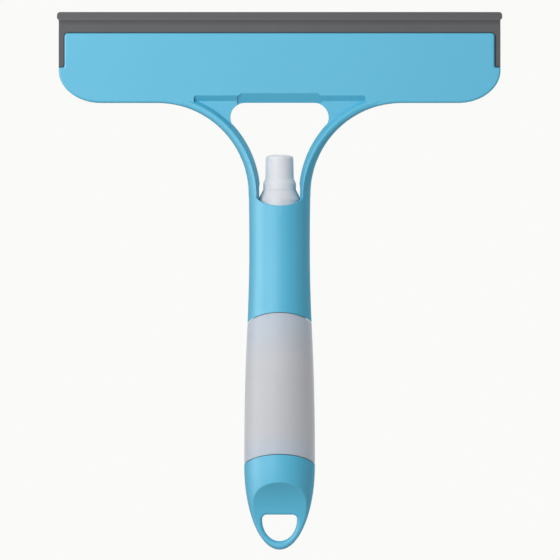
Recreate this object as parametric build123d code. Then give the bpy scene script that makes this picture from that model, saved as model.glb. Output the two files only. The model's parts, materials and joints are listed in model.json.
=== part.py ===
from build123d import *
import os
from math import atan, copysign, cos, isclose, pi, radians, sin, sqrt

# Window squeegee whose handle is a spray bottle. Lengths are millimetres. While the pieces are made,
# heights count up from the tip of the tail, the handle axis is Z and the front faces -Y.

# Handle form, shared by tail cap, bottle and sleeve
TAIL_TAPER = 40.0          # height of the tail's elliptical nose
HANDLE_RADIUS = 16.9       # fullest radius, at the lower half of the bottle
BULGE_RISE = 6.0           # straight stretch above the nose
LOWER_SEAM = 41.0          # seam between tail cap and bottle, at the handle's sides
BOTTLE_SIGHT = 67.1        # bottle that shows between its two seams, at the sides
SEAM_RADIUS = 15.35        # handle radius at the upper seam
WAIST_RISE = 30.0          # upper seam to the slimmest part of the sleeve
WAIST_RADIUS = 14.5
SLEEVE_LENGTH = 61.6       # upper seam to the root of the fork arms
ROOT_RADIUS = 14.7         # handle radius at the fork's root
SEAM_RISE = 5.2            # how far each seam arches up at the front and back
SEAM_SPREAD = 1.1          # how far the arch's ellipse runs past the handle's side
SEAM_GAP = 0.3
GRIP_HEIGHT = 138.0        # hand grip at the waist, the part's origin

# Fork
FORK_SWEEP = 43.9          # radius of the arms' outer edge
ARM_WIDTH = 5.5
ARM_TIP_DEPTH = 8.7        # front to back, where an arm runs into the head
ARM_RIDGE = 2.8            # ridge along the arm's front there, from its outer edge
OUTER_POWER = 6.0          # of the superellipse outside the ridge there, flat like the plate
FLANK_POWER = 1.3          # of the one inside the ridge, a nearly straight flank
RIDGE_SET = 0.4            # how far the ridges start outside the collar's bore
ARM_SINK = 12.0            # length of arm let into the sleeve wall
ARM_TUCK = 0.9             # how much slimmer its lower end is, inside the wall
ARM_PROUD = 0.1            # how far the arm's root stands out of the sleeve
SECTION_POINTS = 48        # points on each section's curve
ARM_END_TURN = 82.0        # degrees round the sweep at which an arm ends inside the head
ARM_STATIONS = 7
RIM_DROP = 5.4             # sleeve rim below the fork's root, at the front
RIM_ROUNDING = 0.5
OPENING_CORNER = 7.0
WEB_THICKNESS = 4.4
ARM_BITE = 0.4             # how deep the web's edge runs inside an arm
PLATE_TURN = 73.0          # degrees round the sweep where the flat head plate ends
PLATE_TOE = 1.3            # rounding of those ends, at the arm's outer edge
POCKET_TOP = 3.4           # pocket edge above the head's bottom edge
POCKET_END = 41.0          # pocket's outer end from the axis
POCKET_TIP = 1.2           # rounding of that end
POCKET_RUN = 2.6           # height of the pocket's sloped upper wall
LEDGE_HALF = 19.4          # sloped ledge over the opening, half its length
LEDGE_SLANT = 0.9          # its ends lean by this much to either side of that
LEDGE_HEIGHT = 4.5
LEDGE_EDGE = 2.0           # thickness left at the opening

# Head
HEAD_WIDTH = 211.0
HEAD_HEIGHT = 33.2
HEAD_THICKNESS = 9.0
HEAD_ROUNDING = 0.9
CORNER_REACH = 20.0        # lower corners, sideways and upwards
CORNER_DROP = 15.4
PANEL_CORNER = 1.6
LEG_WIDTH = 2.8            # blade legs beside the panel
LEG_FOOT = 1.4             # leg ends above the lower corner
FOOT_ROUNDING = 0.9
TONGUE_THICKNESS = 3.2
TONGUE_REACH = 4.0         # tongue above the panel
TONGUE_SIDE = 1.4          # tongue beside the panel

# Blade
BLADE_THICKNESS = 6.0
BLADE_BODY = 6.3           # rubber body above the panel
BLADE_NECK = 3.8           # thickness under the lip
LIP_HEIGHT = 3.9
LIP_THICKNESS = 2.6
LIP_EDGE = 1.2             # thickness at the wiping edge
LIP_OVERHANG = 0.9
LIP_CORNER = 1.5
FLANK_HOLLOW = 0.25        # how far the body's flanks curve in
GROOVE_WIDTH = 0.4         # groove in the rubber along the panel
GROOVE_DEPTH = 0.6

# Bottle
BOTTLE_WALL = 1.3
SLEEVE_WALL = 1.7
BARREL_CLEARANCE = 0.3
SPIGOT_STEP = 2.6          # step from the handle's skin in to the spigot
SPIGOT_FLOOR = 31.5        # height of the spigot's flat end
SPIGOT_BEAD = 0.35
BEAD_HEIGHT = 36.0
FIT_CLEARANCE = 0.1        # pushed together fits within one assembly
SHOULDER_HEIGHT = 6.0
NECK_SINK = 2.7            # neck's mouth below the fork's root
NECK_HEIGHT = 14.0
NECK_RADIUS = 7.9
NECK_BORE = 5.4
NECK_FOOT = 0.6

# Tail cap
SCOOP_TOP = 32.6
SCOOP_HEIGHT = 6.0         # height at which the tail is thinnest
TAIL_WEB = 7.5             # thickness there
HOLE_TOP = 16.9
HOLE_MIDDLE = 14.3         # height at which the hole is widest
HOLE_SIDE = 4.6            # tail left beside it there
HOLE_BOTTOM = 4.0
HOLE_CORNER = 2.2
HOLE_ROUNDING = 1.4
SCOOP_ROUNDING = 1.0

# Screw collar
COLLAR_RADIUS = 10.2
COLLAR_CLEARANCE = 0.5     # to the sleeve's upper bore
COLLAR_SKIRT = 10.5        # skirt below the neck's mouth
COLLAR_PLATE = 1.6
COLLAR_HOLE = 4.3
CONE_HEIGHT = 4.6
CONE_TOP = 7.9
THREAD_ROOM = 1.2          # between neck and collar, where the thread runs
RING_OUTER = 6.3
RING_INNER = 5.5
RING_HEIGHT = 3.4
SCREW_LIFT = 4.8           # collar's rise when it is unscrewed

# Pump
GASKET = 1.0
FLANGE = 1.2
FLANGE_RADIUS = 7.3
FLANGE_CLEARANCE = 0.3     # to the turning collar
TURRET_FLANGE = 1.2
TURRET_PLUG = 3.0
TURRET_RADIUS = 4.1
TURRET_RISE = 4.0
TURRET_BORE = 3.2
CHAMBER_RADIUS = 3.5
CHAMBER_WALL = 0.9
CHAMBER_DEPTH = 19.2
CAGE_RADIUS = 2.0
CAGE_HEIGHT = 2.4
CAGE_LIP = 0.5             # height of the lip that keeps the ball in
CAGE_MOUTH = 1.35          # radius inside that lip
CAGE_SLOT = 0.8            # slot across the lip, for the liquid
SEAT_HEIGHT = 1.6
INLET_RADIUS = 0.9
INLET_LENGTH = 1.0
SOCKET_LENGTH = 7.0
SOCKET_WALL = 1.0
BALL_RADIUS = 1.5
BALL_CLEARANCE = 0.05
TUBE_RADIUS = 1.9
TUBE_WALL = 0.6
TUBE_OFF_FLOOR = 4.0
TUBE_BEVEL = 1.5
STEM_RADIUS = 1.7
STEM_BORE = 0.7
STEM_SLIDE = 0.08          # running clearance in the turret
STEM_TAIL = 1.6            # stem below the piston
STEM_FLOOR = 0.4
STEM_HOLE = 0.4            # radius of the cross hole above the stem's floor
STEM_COLLAR = 1.4
STEM_COLLAR_RADIUS = 2.6
STOP_GAP = 0.2
PISTON_LENGTH = 4.4
PISTON_SLIDE = 0.05
PISTON_GROOVE = 0.6
SPRING_WIRE = 0.28
SPRING_RADIUS = 2.6
SPRING_TURNS = 6
SPRING_SEAT = 0.05
PRESS = 4.4                # actuator travel

# Actuator and nozzle
ACTUATOR_RADIUS = 5.0
ACTUATOR_HEIGHT = 9.6
ACTUATOR_GAP = 0.3         # left over the collar when pressed
ACTUATOR_RECESS = 2.9
ACTUATOR_WALL = 0.6
ACTUATOR_ROUNDING = 0.5
BOSS_RADIUS = 2.6
BOSS_DROP = 2.0
STEM_SOCKET = 2.8
DISH_RADIUS = 12.0
DISH_DEPTH = 0.6
NOZZLE_RADIUS = 2.1
NOZZLE_DEPTH = 2.4
NOZZLE_RISE = 0.8          # nozzle axis above the stem's end
NOZZLE_SINK = 0.35
ORIFICE_RADIUS = 0.25
DIMPLE_RADIUS = 1.0
DIMPLE_DEPTH = 0.6

# Dust cap
CAP_HEIGHT = 17.0
CAP_RADIUS = 6.57          # at the top
CAP_FOOT = 6.8             # where the skirt begins
CAP_SKIRT = 7.8
SKIRT_HEIGHT = 3.1
SKIRT_FLARE = 2.3
CAP_ROUNDING = 1.5
CAP_CROWN = 0.9            # rise of the domed top
CAP_WALL = 0.95
CAP_ROOF = 1.3
CAP_SEAT = 4.0             # bore that slides over the collar's ring

# Levels and sizes that follow from the above
bulge_height = TAIL_TAPER + BULGE_RISE
upper_seam = LOWER_SEAM + BOTTLE_SIGHT
waist_height = upper_seam + WAIST_RISE
fork_root = upper_seam + SLEEVE_LENGTH
head_bottom = fork_root + FORK_SWEEP
head_top = head_bottom + HEAD_HEIGHT
lip_base = head_top + BLADE_BODY
blade_top = lip_base + LIP_HEIGHT
leg_bottom = head_bottom + CORNER_DROP + LEG_FOOT
head_half = HEAD_WIDTH / 2
panel_half = head_half - LEG_WIDTH
plate_half = HEAD_THICKNESS / 2
fork_centre = ROOT_RADIUS + FORK_SWEEP
plate_end = fork_centre - FORK_SWEEP * cos(radians(PLATE_TURN))
arm_middle = FORK_SWEEP + ARM_WIDTH / 2
neck_top = fork_root - NECK_SINK
neck_base = neck_top - NECK_HEIGHT
shoulder_base = neck_base - SHOULDER_HEIGHT
barrel_radius = WAIST_RADIUS - SLEEVE_WALL - BARREL_CLEARANCE
barrel_bore = barrel_radius + BARREL_CLEARANCE
spigot_radius = HANDLE_RADIUS - SPIGOT_STEP
collar_bore = COLLAR_RADIUS + COLLAR_CLEARANCE
root_middle = ROOT_RADIUS - ARM_WIDTH / 2
ridge_reach = collar_bore + RIDGE_SET
tip_ridge = ARM_RIDGE - ARM_WIDTH / 2
gasket_top = neck_top + GASKET
flange_top = gasket_top + FLANGE
turret_seat = flange_top + TURRET_FLANGE
collar_top = turret_seat + COLLAR_PLATE
chamber_floor = flange_top - CHAMBER_DEPTH
cage_floor = chamber_floor - CAGE_HEIGHT
seat_floor = cage_floor - SEAT_HEIGHT
socket_top = seat_floor - INLET_LENGTH
socket_bottom = socket_top - SOCKET_LENGTH
plug_bottom = flange_top - TURRET_PLUG
stem_collar_top = plug_bottom - STOP_GAP
piston_top = stem_collar_top - STEM_COLLAR
piston_bottom = piston_top - PISTON_LENGTH
stem_bottom = piston_bottom - STEM_TAIL
actuator_bottom = collar_top + PRESS + ACTUATOR_GAP
actuator_top = actuator_bottom + ACTUATOR_HEIGHT
recess_roof = actuator_bottom + ACTUATOR_RECESS
stem_top = recess_roof + STEM_SOCKET
nozzle_height = stem_top + NOZZLE_RISE
cap_top = collar_top + CAP_HEIGHT
quarter_ellipse = 4 / 3 * (sqrt(2) - 1)  # control length that makes a cubic curve a quarter ellipse
clear = 4 * HANDLE_RADIUS  # longer than any cut through the handle


def turned(*points):
    """A piece turned about the handle axis from a closed outline of (radius, height) points."""
    return revolve(Plane.XZ * make_face(Polyline(*points, close=True)), Axis.Z)


def through(sketch, half):
    """A front view outline carried through from front to back, half to either side."""
    return extrude(Plane.XZ * sketch, amount=half, both=True)


def sideways(sketch, half):
    """A side view outline of (depth, height) carried from left to right."""
    return extrude(Plane.YZ * sketch, amount=half, both=True)


def both_sides(piece):
    """A piece and its mirror image on the left."""
    return piece + mirror(piece, Plane.YZ)


def front_and_back(piece):
    """A piece and its mirror image behind the handle axis."""
    return piece + mirror(piece, Plane.XZ)


def handle_form():
    """The handle's outer form, from the tail's elliptical nose to the root of the fork."""
    nose = Bezier(
        (0, 0),
        (quarter_ellipse * HANDLE_RADIUS, 0),
        (HANDLE_RADIUS, TAIL_TAPER - quarter_ellipse * TAIL_TAPER),
        (HANDLE_RADIUS, TAIL_TAPER),
    )
    side = Line((HANDLE_RADIUS, TAIL_TAPER), (HANDLE_RADIUS, bulge_height))
    bulge = TangentArc(side @ 1, (SEAM_RADIUS, upper_seam), tangent=(0, 1))
    waist = TangentArc(bulge @ 1, (WAIST_RADIUS, waist_height), tangent=bulge % 1)
    root = TangentArc(waist @ 1, (ROOT_RADIUS, fork_root), tangent=waist % 1)
    top = Polyline(root @ 1, (0, fork_root), (0, 0))
    return revolve(Plane.XZ * make_face([nose, side, bulge, waist, root, top]), Axis.Z)


def nose_radius(height):
    """Radius of the tail's nose at a height."""
    return HANDLE_RADIUS * sqrt(1 - (1 - height / TAIL_TAPER) ** 2)


def below_seam(height, radius):
    """Everything under an arched seam that rises from the handle's side to its crest on an ellipse."""
    reach = radius + SEAM_SPREAD
    half = SEAM_RISE / (1 - sqrt(1 - (radius / reach) ** 2))
    base = Rectangle(2 * clear, 2 * blade_top, align=(Align.CENTER, Align.MAX))
    return through(Pos(0, height + SEAM_RISE - half) * (Ellipse(reach, half) + base), clear)


def lobe(t, power):
    """Point of a superellipse with unit half axes; a power of 2 is a circle, 1 has straight sides."""
    return (
        copysign(abs(cos(t)) ** (2 / power), cos(t)),
        copysign(abs(sin(t)) ** (2 / power), sin(t)),
    )


def root_point(t, radius):
    """Point of the arm's root section: the sleeve's round outside, a flank inside, ridges between."""
    ridge = root_middle - ridge_reach
    depth = sqrt(radius**2 - ridge_reach**2)
    if cos(t) > 0:
        inward, rise = lobe(t, FLANK_POWER)
        return Vector(ridge + (ARM_WIDTH / 2 - ridge) * inward, depth * rise)
    return Vector(root_middle - sqrt(radius**2 - (depth * sin(t)) ** 2), depth * sin(t))


def tip_point(t):
    """Point of the arm's end section: flat outside the ridges, a flank inside them."""
    inward, rise = lobe(t, FLANK_POWER if cos(t) > 0 else OUTER_POWER)
    half = ARM_WIDTH / 2 - copysign(tip_ridge, cos(t))
    return Vector(tip_ridge + half * inward, ARM_TIP_DEPTH / 2 * rise)


def arm_section(turn, radius):
    """Section across the right arm, at a turn in degrees from its root towards the head."""
    across, along = cos(radians(turn)), sin(radians(turn))
    place = Plane(
        origin=(fork_centre - arm_middle * across, 0, fork_root + arm_middle * along),
        x_dir=(-across, 0, along),
        z_dir=(along, 0, across),
    )
    steps = [2 * pi * i / SECTION_POINTS for i in range(SECTION_POINTS)]
    points = [root_point(t, radius) * (1 - along) + tip_point(t) * along for t in steps]
    return place * make_face(Spline(*points, periodic=True))


def fork_arm():
    """The right arm: sections lofted round the sweep, from the sleeve's round wall to the flat head."""
    turns = [ARM_END_TURN * i / ARM_STATIONS for i in range(ARM_STATIONS + 1)]
    radius = ROOT_RADIUS + ARM_PROUD
    foot = Pos(0, 0, -ARM_SINK) * arm_section(0, radius - ARM_TUCK)
    stem = loft([foot, arm_section(0, radius)], ruled=True)
    return stem + loft([arm_section(t, radius) for t in turns])


def fork_circles(radius):
    """Discs about the centres of both arms' sweeps, in the front view."""
    return Pos(fork_centre, fork_root) * Circle(radius) + Pos(-fork_centre, fork_root) * Circle(radius)


def fork_opening():
    """Upper part of the gap between the arms, with rounded top corners."""
    low = Pos(0, fork_root) * Rectangle(
        2 * fork_centre, FORK_SWEEP, align=(Align.CENTER, Align.MIN)
    )
    gap = low - fork_circles(FORK_SWEEP + ARM_WIDTH - ARM_BITE)
    corners = gap.vertices().group_by(Axis.Y)[-1]
    return fillet(corners, OPENING_CORNER)


def fork_web():
    """Thin web in the corners between arms, head and opening."""
    height = POCKET_TOP + FORK_SWEEP / 2
    sheet = Pos(0, head_bottom + POCKET_TOP + HEAD_ROUNDING) * Rectangle(
        2 * (fork_centre - ARM_WIDTH), height, align=(Align.CENTER, Align.MAX)
    )
    return through(sheet - fork_circles(arm_middle) - fork_opening(), WEB_THICKNESS / 2)


def panel_outline():
    """Front outline of the head plate, set in at the sides where the blade's legs lie."""
    corner = EllipticalCenterArc(
        (head_half - CORNER_REACH, head_bottom + CORNER_DROP),
        CORNER_REACH,
        CORNER_DROP,
        start_angle=-90,
        arc_size=90,
    )
    bottom = Line((0, head_bottom), corner @ 0)
    side = Polyline(
        corner @ 1,
        (head_half, leg_bottom),
        (panel_half, leg_bottom),
        (panel_half, head_top),
        (0, head_top),
        (0, head_bottom),
    )
    half = make_face([bottom, corner, side])
    step = half.vertices().filter_by(lambda v: isclose(v.Y, leg_bottom))
    half = fillet(step, FOOT_ROUNDING)
    top = half.vertices().sort_by_distance((panel_half, head_top))[0]
    half = fillet(top, PANEL_CORNER)
    return half + mirror(half, Plane.YZ)


def plate_outline():
    """Head plate with the flat ends that run a little way down both arms."""
    end = Rectangle(fork_centre - plate_end, FORK_SWEEP, align=(Align.MIN, Align.MAX))
    right = Pos(plate_end, head_bottom) * end - fork_circles(FORK_SWEEP)
    right = fillet(right.vertices().sort_by(Axis.Y)[0], PLATE_TOE)
    return panel_outline() + right + mirror(right, Plane.YZ)


def pocket():
    """Three-cornered pocket in the front, from the ledge's right end down to the web, sloped above."""
    top = head_bottom + POCKET_TOP
    block = Pos(LEDGE_HALF, top) * Rectangle(
        POCKET_END - LEDGE_HALF, FORK_SWEEP / 2, align=(Align.MIN, Align.MAX)
    )
    outline = block - Pos(fork_centre, fork_root) * Circle(FORK_SWEEP + ARM_RIDGE)
    outline = fillet(outline.vertices().group_by(Axis.X)[-1], POCKET_TIP)
    hollow = Pos(0, -WEB_THICKNESS / 2, 0) * extrude(Plane.XZ * outline, amount=HEAD_THICKNESS)
    slope = Polyline(
        (-plate_half, top), (-WEB_THICKNESS / 2, top), (-WEB_THICKNESS / 2, top - POCKET_RUN), close=True
    )
    return hollow - sideways(make_face(slope), clear)


def ledge_cut():
    """Wedge that leaves a sloped ledge over the opening, on the front."""
    slope = Polyline(
        (-LEDGE_EDGE / 2, head_bottom),
        (-plate_half, head_bottom + LEDGE_HEIGHT),
        (-HEAD_THICKNESS, head_bottom + LEDGE_HEIGHT),
        (-HEAD_THICKNESS, head_bottom - LEDGE_HEIGHT),
        (-LEDGE_EDGE / 2, head_bottom - LEDGE_HEIGHT),
        close=True,
    )
    wide, narrow = LEDGE_HALF + LEDGE_SLANT, LEDGE_HALF - LEDGE_SLANT
    front = Polyline(
        (-wide, head_bottom - LEDGE_HEIGHT),
        (-wide, head_bottom + POCKET_TOP - LEDGE_SLANT),
        (-narrow, head_bottom + LEDGE_HEIGHT),
        (narrow, head_bottom + LEDGE_HEIGHT),
        (wide, head_bottom + POCKET_TOP - LEDGE_SLANT),
        (wide, head_bottom - LEDGE_HEIGHT),
        close=True,
    )
    return sideways(make_face(slope), 2 * LEDGE_HALF) & through(make_face(front), clear)


def head_plate():
    """Head plate with rounded edges, pockets and the tongue that carries the blade."""
    plate = through(plate_outline(), plate_half)
    faces = plate.faces().filter_by(Axis.Y).sort_by(Axis.Y)
    rims = faces[0].edges() + faces[-1].edges()
    rims = rims.filter_by(
        lambda e: abs(e.center().X) > plate_end + HEAD_ROUNDING or e.center().Z > leg_bottom
    )
    plate = fillet(rims, HEAD_ROUNDING)
    plate = plate - front_and_back(both_sides(pocket()))
    return plate + tongue()


def tongue():
    """Thin tongue along the plate's top and upper sides, inside the rubber."""
    height = head_top + TONGUE_REACH - leg_bottom - FOOT_ROUNDING - TONGUE_SIDE
    sheet = Pos(0, head_top + TONGUE_REACH) * Rectangle(
        2 * (panel_half + TONGUE_SIDE), height, align=(Align.CENTER, Align.MAX)
    )
    return through(sheet, TONGUE_THICKNESS / 2)


def sleeve_bores():
    """Bore for the bottle's barrel, sloped stop ledge, collar bore and room for the raised collar."""
    slope = SHOULDER_HEIGHT / (barrel_radius - NECK_RADIUS - NECK_FOOT)
    stop = shoulder_base + 2 * BARREL_CLEARANCE
    ledge = stop + slope * (barrel_bore - collar_bore)
    raised = collar_top - CONE_HEIGHT + SCREW_LIFT + COLLAR_CLEARANCE
    return turned(
        (0, LOWER_SEAM),
        (barrel_bore, LOWER_SEAM),
        (barrel_bore, stop),
        (collar_bore, ledge),
        (collar_bore, raised),
        (CONE_TOP + COLLAR_CLEARANCE, raised + CONE_HEIGHT),
        (0, raised + CONE_HEIGHT),
    )


def sleeve():
    """Handle sleeve with its arched lower edge and the dipped rim between the fork's arms."""
    tube = handle_form() - below_seam(upper_seam + SEAM_GAP, SEAM_RADIUS)
    dip = Ellipse(ridge_reach, RIM_DROP)
    tube = tube - through(Pos(0, fork_root) * dip, clear)
    low = fork_root - RIM_DROP
    rims = tube.edges().filter_by(
        lambda e: low - RIM_ROUNDING < e.center().Z < fork_root - RIM_ROUNDING
        and abs(e.center().Y) > collar_bore
    )
    return fillet(rims, RIM_ROUNDING)


def head_frame():
    """One moulding: head plate, web, two fork arms and handle sleeve."""
    frame = sleeve() + both_sides(fork_arm()) + fork_web() + head_plate()
    return frame - front_and_back(ledge_cut()) - sleeve_bores()


def squeegee_blade():
    """Rubber blade: a body with a thinner lip on top and a leg down each side of the panel."""
    foot = Polyline(
        (0, leg_bottom),
        (head_half, leg_bottom),
        (head_half, lip_base),
        (head_half + LIP_OVERHANG, lip_base + LIP_OVERHANG),
        (head_half + LIP_OVERHANG, blade_top),
        (0, blade_top),
        close=True,
    )
    half = make_face(foot)
    half = fillet(half.vertices().sort_by_distance((head_half + LIP_OVERHANG, blade_top))[0], LIP_CORNER)
    outline = half + mirror(half, Plane.YZ)
    core = through(outline - panel_outline(), BLADE_THICKNESS / 2 - GROOVE_DEPTH)
    body = core + through(outline - offset(panel_outline(), GROOVE_WIDTH), BLADE_THICKNESS / 2)
    return (body & sideways(blade_section(), HEAD_WIDTH)) - tongue()


def blade_section():
    """Side view of the blade: parallel body, hollowed flanks, a step and the tapered lip."""
    flank_start = (BLADE_THICKNESS / 2, head_top + HEAD_ROUNDING)
    flank_end = (BLADE_NECK / 2, lip_base)
    middle = (
        (flank_start[0] + flank_end[0]) / 2 - FLANK_HOLLOW,
        (flank_start[1] + flank_end[1]) / 2,
    )
    side = Line((BLADE_THICKNESS / 2, leg_bottom - CORNER_DROP), flank_start)
    flank = ThreePointArc(flank_start, middle, flank_end)
    lip = Polyline(
        flank_end,
        (LIP_THICKNESS / 2, lip_base),
        (LIP_EDGE / 2, blade_top),
        (0, blade_top),
        (0, leg_bottom - CORNER_DROP),
        (BLADE_THICKNESS / 2, leg_bottom - CORNER_DROP),
    )
    half = make_face([side, flank, lip])
    return half + mirror(half, Plane.YZ)


def bottle_hollow():
    """Room inside the bottle: spigot, full body, barrel, shoulder and neck."""
    inner_spigot = spigot_radius - BOTTLE_WALL
    inner_barrel = barrel_radius - BOTTLE_WALL
    low = LOWER_SEAM + SEAM_RISE + BOTTLE_WALL
    high = upper_seam - BOTTLE_WALL
    lower = Polyline(
        (0, SPIGOT_FLOOR + BOTTLE_WALL),
        (inner_spigot, SPIGOT_FLOOR + BOTTLE_WALL),
        (inner_spigot, low),
        (HANDLE_RADIUS - BOTTLE_WALL, low + SPIGOT_STEP),
    )
    body = TangentArc(lower @ 1, (SEAM_RADIUS - BOTTLE_WALL, high - SPIGOT_STEP), tangent=(0, 1))
    upper = Polyline(
        body @ 1,
        (inner_barrel, high),
        (inner_barrel, shoulder_base),
        (NECK_BORE, neck_base),
        (NECK_BORE, neck_top + BOTTLE_WALL),
        (0, neck_top + BOTTLE_WALL),
        (0, SPIGOT_FLOOR + BOTTLE_WALL),
    )
    return revolve(Plane.XZ * make_face([lower, body, upper]), Axis.Z)


def spigot(gap):
    """The bottle's lower plug with its snap bead; the tail cap's socket is the same with a gap."""
    radius = spigot_radius + gap
    return turned(
        (0, SPIGOT_FLOOR),
        (radius, SPIGOT_FLOOR),
        (radius, BEAD_HEIGHT - SPIGOT_BEAD),
        (radius + SPIGOT_BEAD, BEAD_HEIGHT),
        (radius, BEAD_HEIGHT + SPIGOT_BEAD),
        (radius, LOWER_SEAM + SEAM_RISE + BOTTLE_WALL),
        (0, LOWER_SEAM + SEAM_RISE + BOTTLE_WALL),
    )


def bottle():
    """Blown bottle: the lower half of the handle, a barrel for the sleeve, and a neck."""
    skin = handle_form() & below_seam(upper_seam, SEAM_RADIUS)
    skin = skin - below_seam(LOWER_SEAM, HANDLE_RADIUS)
    barrel = turned(
        (0, upper_seam - BOTTLE_WALL),
        (barrel_radius, upper_seam - BOTTLE_WALL),
        (barrel_radius, shoulder_base),
        (NECK_RADIUS + NECK_FOOT, neck_base),
        (NECK_RADIUS, neck_base + NECK_FOOT),
        (NECK_RADIUS, neck_top),
        (0, neck_top),
    )
    return skin + spigot(0) + barrel - bottle_hollow()


def tail_cap():
    """End cap with a socket for the bottle, a thumb scoop on both faces and a hanging hole."""
    cap = handle_form() & below_seam(LOWER_SEAM - SEAM_GAP, HANDLE_RADIUS)
    cap = cap - spigot(FIT_CLEARANCE)
    depth = nose_radius(SCOOP_TOP) - TAIL_WEB / 2
    rise = SCOOP_TOP - SCOOP_HEIGHT
    radius = (depth**2 + rise**2) / (2 * depth)
    scoop = Pos(TAIL_WEB / 2 + radius, SCOOP_HEIGHT) * Circle(radius)
    cap = cap - front_and_back(sideways(scoop, clear))
    scoops = cap.faces().filter_by(GeomType.CYLINDER).filter_by(
        lambda f: isclose(f.radius, radius) and f.center().Z < SCOOP_TOP
    )
    cap = fillet(scoops.edges(), SCOOP_ROUNDING)
    cap = cap - through(hanging_hole(), clear)
    rims = cap.edges().filter_by(
        lambda e: abs(e.center().X) <= nose_radius(HOLE_MIDDLE) - HOLE_SIDE
        and HOLE_BOTTOM - HOLE_ROUNDING < e.center().Z < HOLE_TOP + HOLE_ROUNDING
        and abs(e.center().Y) > TAIL_WEB / 2 - HOLE_ROUNDING / 2
    )
    return fillet(rims, HOLE_ROUNDING)


def hanging_hole():
    """D-shaped hole: half an ellipse below, a flat top with rounded corners."""
    half = nose_radius(HOLE_MIDDLE) - HOLE_SIDE
    low = EllipticalCenterArc(
        (0, HOLE_MIDDLE), half, HOLE_MIDDLE - HOLE_BOTTOM, start_angle=180, arc_size=180
    )
    top = Polyline(low @ 1, (half, HOLE_TOP), (-half, HOLE_TOP), low @ 0)
    hole = make_face([low, top])
    return fillet(hole.vertices().group_by(Axis.Y)[-1], HOLE_CORNER)


def closure_collar():
    """Screw collar: plain skirt, conical shoulder and the ring that the dust cap sits on."""
    skirt = neck_top - COLLAR_SKIRT
    bore = NECK_RADIUS + THREAD_ROOM
    pocket = FLANGE_RADIUS + FLANGE_CLEARANCE
    return turned(
        (bore, skirt),
        (COLLAR_RADIUS, skirt),
        (COLLAR_RADIUS, collar_top - CONE_HEIGHT),
        (CONE_TOP, collar_top),
        (RING_OUTER, collar_top),
        (RING_OUTER, collar_top + RING_HEIGHT),
        (RING_INNER, collar_top + RING_HEIGHT),
        (RING_INNER, collar_top),
        (COLLAR_HOLE, collar_top),
        (COLLAR_HOLE, turret_seat),
        (pocket, turret_seat),
        (pocket, flange_top),
        (bore, gasket_top),
    )


def neck_gasket():
    """Flat washer on the bottle's mouth."""
    hole = CHAMBER_RADIUS + CHAMBER_WALL + FIT_CLEARANCE
    return turned(
        (hole, neck_top),
        (FLANGE_RADIUS, neck_top),
        (FLANGE_RADIUS, gasket_top),
        (hole, gasket_top),
    )


def pump_housing():
    """Pump chamber with its flange, ball cage, conical seat and dip tube socket."""
    wall = CHAMBER_RADIUS + CHAMBER_WALL
    socket = TUBE_RADIUS + FIT_CLEARANCE
    housing = turned(
        (CHAMBER_RADIUS, flange_top),
        (FLANGE_RADIUS, flange_top),
        (FLANGE_RADIUS, gasket_top),
        (wall, gasket_top),
        (wall, chamber_floor - CHAMBER_WALL),
        (socket + SOCKET_WALL, cage_floor),
        (socket + SOCKET_WALL, socket_bottom),
        (socket, socket_bottom),
        (socket, socket_top),
        (INLET_RADIUS, socket_top),
        (INLET_RADIUS, seat_floor),
        (CAGE_RADIUS, cage_floor),
        (CAGE_RADIUS, chamber_floor - CAGE_LIP),
        (CAGE_MOUTH, chamber_floor - CAGE_LIP),
        (CAGE_MOUTH, chamber_floor),
        (CHAMBER_RADIUS, chamber_floor),
    )
    slot = Pos(0, 0, chamber_floor) * Box(2 * CAGE_RADIUS, CAGE_SLOT, 2 * CAGE_LIP)
    return housing - slot


def pump_turret():
    """Retaining ring: a plug in the chamber, a clamped flange and a guide tube round the stem."""
    slide = STEM_RADIUS + STEM_SLIDE
    plug = CHAMBER_RADIUS - FIT_CLEARANCE
    return turned(
        (slide, plug_bottom),
        (plug, plug_bottom),
        (plug, flange_top),
        (FLANGE_RADIUS, flange_top),
        (FLANGE_RADIUS, turret_seat),
        (TURRET_RADIUS, turret_seat),
        (TURRET_RADIUS, turret_seat + TURRET_RISE),
        (TURRET_BORE, turret_seat + TURRET_RISE),
        (TURRET_BORE, turret_seat),
        (slide, turret_seat),
    )


def pump_stem():
    """Hollow stem with a stop collar and a cross hole below the piston."""
    stem = turned(
        (0, stem_bottom),
        (STEM_RADIUS, stem_bottom),
        (STEM_RADIUS, piston_top),
        (STEM_COLLAR_RADIUS, piston_top),
        (STEM_COLLAR_RADIUS, stem_collar_top),
        (STEM_RADIUS, stem_collar_top),
        (STEM_RADIUS, stem_top),
        (STEM_BORE, stem_top),
        (STEM_BORE, stem_bottom + STEM_FLOOR),
        (0, stem_bottom + STEM_FLOOR),
    )
    hole = Pos(0, stem_bottom + STEM_FLOOR + STEM_HOLE) * Circle(STEM_HOLE)
    return stem - sideways(hole, CHAMBER_RADIUS)


def pump_piston():
    """Piston ring with a sealing lip at each end and a relieved middle."""
    bore = STEM_RADIUS + PISTON_SLIDE
    lip = CHAMBER_RADIUS - PISTON_SLIDE
    waist = lip - PISTON_GROOVE
    return turned(
        (bore, piston_bottom),
        (lip, piston_bottom),
        (lip, piston_bottom + PISTON_GROOVE),
        (waist, piston_bottom + 2 * PISTON_GROOVE),
        (waist, piston_top - 2 * PISTON_GROOVE),
        (lip, piston_top - PISTON_GROOVE),
        (lip, piston_top),
        (bore, piston_top),
    )


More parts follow.
